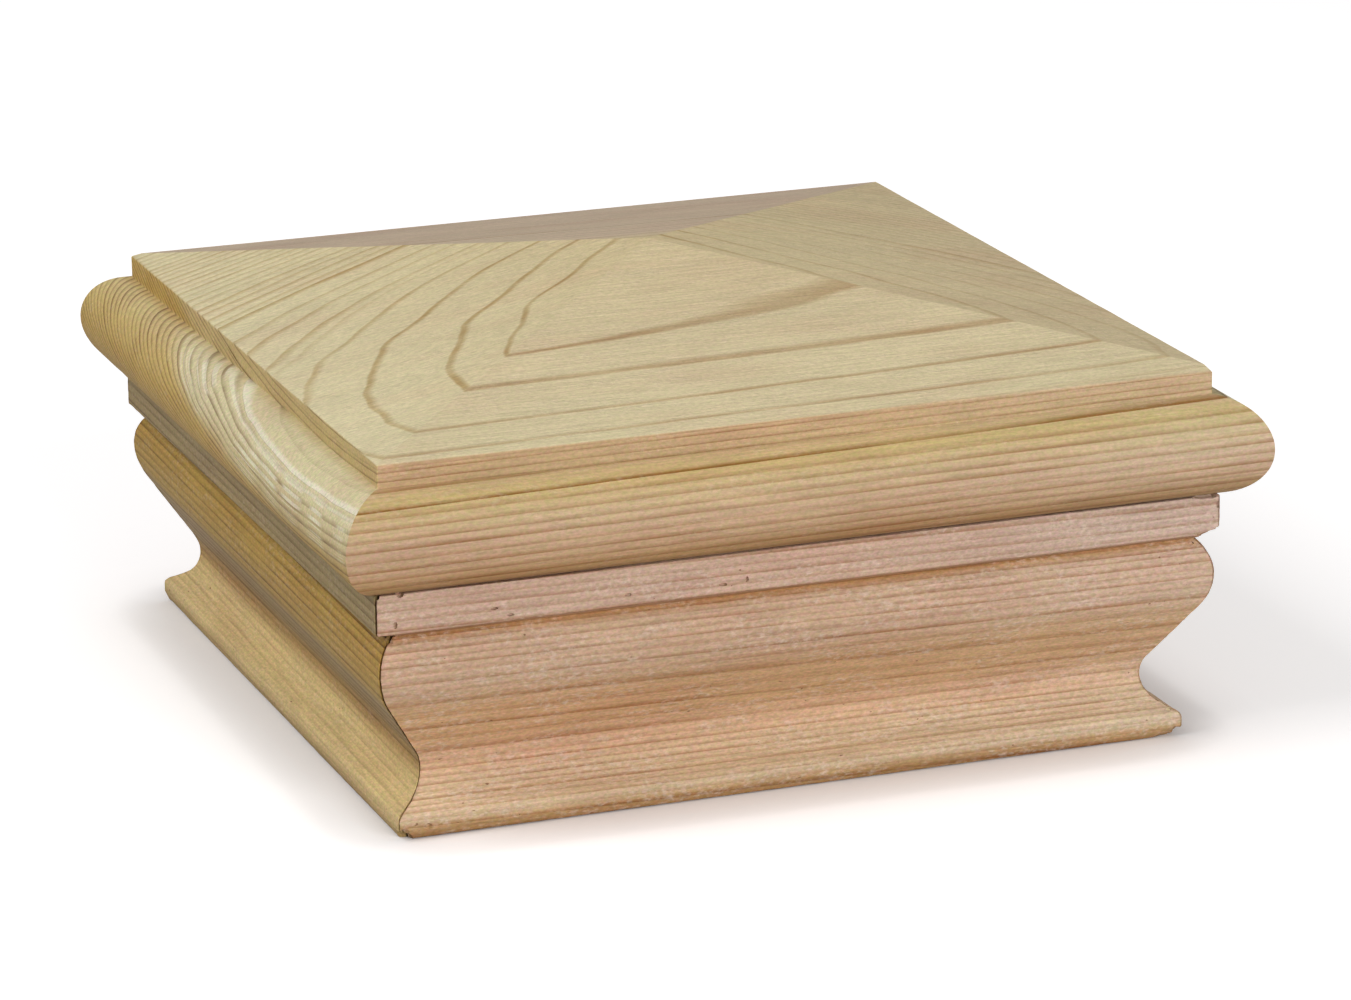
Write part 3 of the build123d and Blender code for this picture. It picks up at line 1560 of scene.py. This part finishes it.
@dataclass
class Studio:
    """The floor, the lamps and the camera. Metres, degrees and watts.

    The camera's place and lens are in millimetres. The floor glows where it is seen, so that it is white
    there and keeps the cap's shadow, and it glows less in the nooks at the foot of the cap, which paints a
    shadow close to it.
    """

    camera_place: tuple[float, float, float] = (-288.83, -785.77, 278.17)
    camera_azimuth: float = 20.437
    camera_elevation: float = 16.706
    camera_roll: float = -0.588
    camera_lens: float = 150.28
    camera_sight: float = 20.0
    sensor_width: float = 36.0
    air: float = 0.35
    aim_height: float = 0.04
    floor_size: float = 8.0
    floor_seen: Colour = (0.95, 0.93, 0.93, 1.0)
    floor_unseen: Colour = (0.42, 0.41, 0.40, 1.0)
    floor_glow: float = 0.36
    shade_reach: float = 0.018
    shade_power: float = 6.0

    white = (1.0, 1.0, 1.0, 1.0)

    def floor(self) -> None:
        """Lay a plain white floor that keeps the cap's shadow, with a painted shadow close to the cap's
        foot.
        """
        Bench.clear()
        bpy.ops.mesh.primitive_plane_add(size=self.floor_size)
        floor = bpy.context.object
        floor.name = "floor"
        graph = Graph("white_floor")
        path = graph.add("LightPath").outputs
        rays = graph.maths("MAXIMUM", path["Is Camera Ray"], path["Is Glossy Ray"])
        rays = graph.maths("MAXIMUM", rays, path["Is Transmission Ray"])
        # Painted shadow: the floor's glow fades in the nooks close to the cap, darker than the lamps alone
        # make it
        openness_for_painted_shadow = graph.add("AmbientOcclusion", {"samples": 8}, Distance=self.shade_reach).outputs["AO"]
        glow = graph.maths("MULTIPLY", graph.maths("POWER", openness_for_painted_shadow, self.shade_power), self.floor_glow)
        shader = graph.add(
            "BsdfPrincipled",
            Base_Color=graph.blend(rays, self.floor_unseen, self.floor_seen),
            Roughness=0.9,
            Specular_IOR_Level=0.0,
            Emission_Color=self.white,
            Emission_Strength=graph.maths("MULTIPLY", rays, glow),
        )
        floor.data.materials.append(graph.close(shader))

    def lamp(self, name: str, place: tuple[float, float, float], size: float, power: float) -> None:
        """Hang a square softbox that faces the cap.

        Args:
            name: The lamp's name.
            place: Its place, in metres.
            size: The length of its sides, in metres.
            power: Its power, in watts.
        """
        Bench.clear()
        bpy.ops.object.light_add(type="AREA", location=place)
        lamp = bpy.context.object
        lamp.name = name
        lamp.data.size = size
        lamp.data.energy = power
        away = Vector(place) - Vector((0, 0, self.aim_height))
        lamp.rotation_euler = away.to_track_quat("Z", "Y").to_euler()

    def light(self) -> None:
        """Light the cap softly from the front, and from above on the left."""
        self.lamp("front_softbox", (0.32, -2.02, 0.69), 1.1, 27)
        self.lamp("left_softbox", (-1.44, -0.10, 1.42), 1.2, 21.6)
        world = bpy.data.worlds.new("studio_air")
        bpy.context.scene.world = world
        world.use_nodes = True
        air = world.node_tree.nodes["Background"].inputs
        air["Color"].default_value = self.white
        air["Strength"].default_value = self.air

    def camera(self) -> None:
        """Stand the camera where the photograph was taken from."""
        Bench.clear()
        bpy.ops.object.camera_add(location=Vector(self.camera_place) * MM)
        camera = bpy.context.object
        turn = Matrix.Rotation(math.radians(-self.camera_azimuth), 3, "Z")
        tilt = Matrix.Rotation(math.radians(90 - self.camera_elevation), 3, "X")
        roll = Matrix.Rotation(math.radians(self.camera_roll), 3, "Z")
        camera.rotation_euler = (turn @ tilt @ roll).to_euler()
        camera.data.lens = self.camera_lens
        camera.data.sensor_width = self.sensor_width
        camera.data.clip_end = self.camera_sight
        bpy.context.scene.camera = camera

    def build(self) -> None:
        """Set up the whole studio."""
        self.floor()
        self.light()
        self.camera()
        bpy.context.scene.view_settings.view_transform = "Standard"


BLOCK_RINGS = RingPattern(
    pith=(-45.0, 57.4 + 182.0),
    pitch=0.9,
    late_share=0.58,
    lean=-0.063,
    rise=0.0105,
    front_ease=0.775,
    front_squeeze=0.62,
    bend=(
        (-75.0, 0.0), (-46.0, 0.0), (-36.0, 0.0), (-26.0, -0.06), (-20.0, 0.04),
        (-14.0, 0.36), (-9.0, 0.46), (-3.0, 0.8), (1.0, 1.05), (5.0, 1.35),
        (9.0, 1.6), (15.0, 1.95), (25.0, 2.3), (45.0, 2.7), (75.0, 3.0),
    ),
    unevenness=0.35,
    faintest=0.6,
    single=(
        GrowthRing(176.62, 0.16, 0.3, 0.85, firmness=1.6),
        GrowthRing(178.36, 0.24, 0.28, 0.9, climb=0.005, firmness=1.6),
        GrowthRing(180.27, 0.24, 0.22, 0.9, firmness=1.4),
        GrowthRing(181.9, 0.26, 0.26, 0.7, firmness=1.3),
        GrowthRing(183.0, 0.3, 0.3, 0.3),
        GrowthRing(183.6, 0.35, 0.3, 0.7),
        GrowthRing(184.9, 0.35, 0.35, 0.7),
        GrowthRing(186.1, 0.4, 0.4, 0.75),
        GrowthRing(187.65, 0.5, 0.6, 1.2, climb=-0.0065),
    ),
    pale=(
        GrowthRing(187.95, 0.75, 0.5, 0.9, climb=-0.002, firmness=2.0),
        GrowthRing(189.0, 0.5, 0.5, 0.6, firmness=2.0),
    ),
    regular_from=188.0,
    frosted=(188.2, 195.5),
)

# The paler, less orange cast that side grain takes on towards its right end: partly paler wood, and partly
# painted light where that end looks more brightly lit
PALER_RIGHT_END_AND_PAINTED_LIGHT = (1.06, 1.14, 1.24, 1.0)

BLOCK_CUTS = Cuts(
    side=Tone(
        (
            # Darker at 38.5 mm: painted shade on the underside of the half-round edge, over the strips
            (38.5, stain(150, 116, 74)),
            (40.5, stain(188, 150, 104)),
            (43.0, stain(199, 165, 130)),
            (46.5, stain(197, 167, 136)),
            (50.0, stain(193, 169, 129)),
            (52.6, stain(190, 167, 114)),
            (53.9, stain(193, 167, 127)),
            (57.4, stain(199, 167, 129)),
        ),
        late=stain(184, 152, 108),
        right_cast=PALER_RIGHT_END_AND_PAINTED_LIGHT,
    ),
    top=Tone(
        (
            (-64.5, stain(210, 197, 158)),
            (-40.0, stain(209, 194, 156)),
            (2.0, stain(207, 190, 150)),
            (10.0, stain(203, 185, 158)),
            (64.5, stain(202, 183, 160)),
        ),
        late=stain(206, 184, 164),
        by_across=True,
    ),
    top_end=Tone(
        ((57.0, stain(219, 208, 168)), (69.0, stain(208, 191, 148))),
        late=stain(210, 192, 162),
        right_cast=(0.88, 0.82, 0.80, 1.0),
        right_strength=0.5,
    ),
    end=Tone(
        (
            (38.5, stain(192, 174, 126)),
            (43.0, stain(197, 180, 131)),
            (46.5, stain(202, 186, 140)),
            (50.0, stain(214, 204, 164)),
            (53.5, stain(212, 202, 162)),
            (54.2, stain(196, 174, 120)),
            (57.4, stain(196, 174, 120)),
        ),
        late=stain(146, 124, 102),
    ),
    outer_end=Tone(
        (
            (38.5, stain(178, 148, 84)),
            (46.5, stain(188, 158, 88)),
            (50.5, stain(202, 178, 114)),
            (53.5, stain(206, 188, 136)),
            (54.2, stain(188, 158, 86)),
            (57.4, stain(188, 158, 86)),
        ),
        late=stain(126, 92, 58),
    ),
    outer_from=(193.0, 197.0),
    calm_within=(186.6, 187.5),
    eave=57.4,
)

BLOCK_PINE = PineFinish("block_pine", 0.0, BLOCK_RINGS, BLOCK_CUTS, fuzz=0.15, grit=0.10)

# The pink strips' tone by height: their own pinkish pine, with painted shade in the quirk and in the
# undercut of the foot
PINK_STRIP_WITH_PAINTED_SHADE = Tone(
    (
        # Darker below 1.6 mm: painted shade in the undercut of the foot
        (0.0, stain(172, 128, 82)),
        (1.6, stain(188, 150, 104)),
        (2.8, stain(206, 180, 147)),
        (6.5, stain(207, 179, 146)),
        (8.5, stain(212, 176, 142)),
        (11.0, stain(214, 176, 142)),
        (13.5, stain(210, 170, 128)),
        (19.0, stain(208, 168, 126)),
        (24.0, stain(202, 170, 142)),
        (30.0, stain(202, 170, 142)),
        # Dark band at 31.2 mm: painted shade in the quirk under the list
        (31.2, stain(184, 139, 90)),
        (32.4, stain(190, 152, 124)),
        (33.0, stain(201, 171, 150)),
        (38.5, stain(201, 171, 150)),
    ),
    late=stain(192, 160, 122),
    right_cast=PALER_RIGHT_END_AND_PAINTED_LIGHT,
)
# The left strip's tone by height: partly its own olive pine, partly painted shade on the list, quirk, ogee
# and foot, and painted light on the lip
OLIVE_STRIP_WITH_PAINTED_SHADE_AND_LIGHT = Tone(
    (
        # Darker foot: painted shade in the undercut; the paler lip above it is partly painted light
        (0.0, stain(170, 142, 92)),
        (3.0, stain(207, 183, 131)),
        (7.0, stain(207, 183, 128)),
        # Darker cove and ogee: partly painted shade on faces that look down or lie under the ovolo
        (9.5, stain(170, 138, 86)),
        (13.0, stain(160, 138, 100)),
        (19.0, stain(160, 139, 102)),
        (23.0, stain(176, 146, 80)),
        (30.0, stain(172, 140, 70)),
        # Dark quirk and darker list: painted shade under the block's half-round edge
        (32.4, stain(134, 108, 66)),
        (33.0, stain(152, 134, 94)),
        (38.5, stain(152, 134, 94)),
    ),
    late=stain(138, 112, 74),
    quiet_below=9.0,
)


def strip_finish(side: Side) -> PineFinish:
    """The pine of one strip. The left one is more olive than the others.

    Args:
        side: The side that the strip is on.

    Returns:
        Its finish.
    """
    rings = RingPattern(
        pith=(40.0, 160.0), pitch=1.05, late_share=0.55, rise=-0.013, wander=0.2, seed=side.value + 7.0
    )
    tone, fuzz = (OLIVE_STRIP_WITH_PAINTED_SHADE_AND_LIGHT, 0.15) if side is Side.LEFT else (PINK_STRIP_WITH_PAINTED_SHADE, 0.5)
    return PineFinish(f"{side.node}_pine", side.value, rings, tone, fuzz=fuzz, torn_grain=0.7, grit=0.14)


LEFT_CORNER = (
    Gouge((-62.0, -62.0, -0.4), (3.4, 3.4, 2.5)),
    Gouge((-63.9, -63.9, 31.5), (2.2, 2.4, 1.4)),
)
RIGHT_CORNER = (
    Gouge((66.2, -65.4, 31.7), (5.4, 2.2, 1.8)),
    Gouge((61.8, -63.8, 31.0), (0.8, 0.7, 0.5)),
    Gouge((63.4, -62.6, -0.9), (7.0, 3.4, 3.3)),
)
FRONT_TORN = (
    *LEFT_CORNER,
    *RIGHT_CORNER,
    Gouge((-61.8, -65.5, 38.4), (0.5, 1.2, 0.4)),
    Gouge((-65.4, -65.5, 38.5), (0.7, 1.0, 0.5)),
    Gouge((-62.6, -65.6, 33.9), (0.2, 0.6, 0.5)),
    Gouge((-60.3, -60.9, 6.2), (0.35, 0.6, 0.8)),
    Gouge((-57.2, -61.8, 1.9), (0.5, 0.4, 0.4)),
    Gouge((-47.9, -65.6, 34.6), (0.5, 0.6, 0.14)),
    Gouge((-45.5, -65.6, 33.4), (0.5, 0.6, 0.16)),
    Gouge((-27.8, -65.6, 34.2), (0.4, 0.6, 0.14)),
    Gouge((-13.3, -65.6, 34.0), (0.6, 0.6, 0.18)),
    Gouge((-9.6, -65.6, 34.4), (0.2, 0.6, 0.35)),
    Gouge((63.2, -65.3, 38.6), (2.3, 1.0, 0.6)),
    Gouge((65.4, -65.4, 36.9), (0.45, 0.6, 0.6)),
    Gouge((60.2, -60.9, 4.2), (0.9, 0.5, 0.25)),
)


def dress(piece: Piece, node: str, finish: PineFinish) -> None:
    """Put a piece in the place of its node, and give it its finish.

    Args:
        piece: The new piece.
        node: The node that it stands for.
        finish: The finish.
    """
    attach(piece, "root")
    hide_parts(node)
    piece.data.materials.clear()
    piece.data.materials.append(finish.build())
    log.info("%s has %d triangles", piece.name, Bench.triangles(piece))


def main() -> None:
    """Build the cap, its floor, its lamps and its camera."""
    logging.basicConfig(level=logging.INFO, format="%(message)s")
    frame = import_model()
    low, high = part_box(Side.FRONT.node)
    brads = Brads(line=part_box("brad_nails")[1].x / MM - Brads.nail_head)
    moulding = Moulding(-high.y / MM, (high.y - low.y) / MM, (high.z - low.z) / MM)
    torn = {Side.FRONT: FRONT_TORN, Side.LEFT: LEFT_CORNER, Side.RIGHT: RIGHT_CORNER}
    strips = MitredFrame(moulding, brads, torn=torn).build()
    for side, strip in strips.items():
        dress(strip, side.node, strip_finish(side))
    low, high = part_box("cap_block")
    block = CapBlock(high.x / MM, low.z / MM, high.z / MM, brads).build()
    dress(block, "cap_block", BLOCK_PINE)
    nails = frame["nodes"]["brad_nails"]
    nails.data.materials.clear()
    nails.data.materials.append(GalvanisedSteel().build())
    log.info("%s keep their own %d triangles", nails.name, Bench.triangles(nails))
    Studio().build()


if __name__ == "__main__":
    main()
